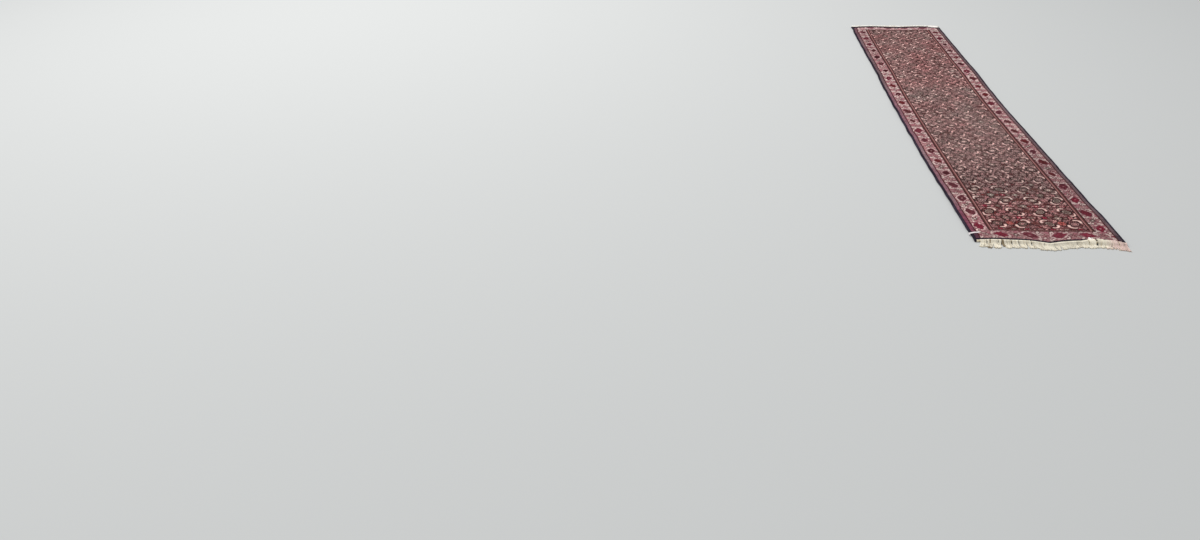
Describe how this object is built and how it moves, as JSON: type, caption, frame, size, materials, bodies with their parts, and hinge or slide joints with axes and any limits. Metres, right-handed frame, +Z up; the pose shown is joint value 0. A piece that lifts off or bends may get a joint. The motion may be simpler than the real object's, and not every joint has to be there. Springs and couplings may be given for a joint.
{
  "type": "runner rug",
  "caption": "Long narrow hand-knotted wool runner with an all-over small floral field, a pale rose border, dark wrapped edges and ivory cotton fringes, lying flat on a floor.",
  "frame": {"origin": "on the floor under the middle of the rug, at the bottom centre of its bounding box", "axes": "+X across the rug, +Y along its length towards the end away from the taped edge, +Z up from the floor through the pile"},
  "size_m": [0.6334, 3.2874, 0.0133],
  "materials": {
    "cotton": "matt plain-woven undyed cotton",
    "field_wool": "short sheared wool pile, brownish mauve with many small colours",
    "guard_wool": "short sheared wool pile, dark maroon lines with a lighter stripe",
    "border_wool": "short sheared wool pile, pale rose with crimson flowers",
    "rose_wool": "short sheared wool pile, rose to mauve",
    "navy_wool": "matt near-black navy wool, pile and overcast yarn",
    "fringe_cotton": "matt ivory twisted cotton yarn",
    "white_tape": "matt white woven tape"
  },
  "bodies": {
    "root": {"edge_band_far": "navy_wool", "edge_band_left": "navy_wool", "edge_band_near": "navy_wool", "edge_band_right": "navy_wool", "edge_tape": "white_tape", "end_weave_far": "cotton", "end_weave_near": "cotton", "field_pile": "field_wool", "folded_tassel_far": "fringe_cotton", "folded_tassel_near": "fringe_cotton", "fringe_far": "fringe_cotton", "fringe_near": "fringe_cotton", "inner_guard_far": "guard_wool", "inner_guard_left": "guard_wool", "inner_guard_near": "guard_wool", "inner_guard_right": "guard_wool", "main_border_far": "border_wool", "main_border_left": "border_wool", "main_border_near": "border_wool", "main_border_right": "border_wool", "outer_guard_left": "rose_wool", "outer_guard_right": "rose_wool", "selvedge_core_left": "cotton", "selvedge_core_right": "cotton", "selvedge_wrap_left": "navy_wool", "selvedge_wrap_right": "navy_wool", "woven_ground": "cotton"}
  },
  "joints": []
}
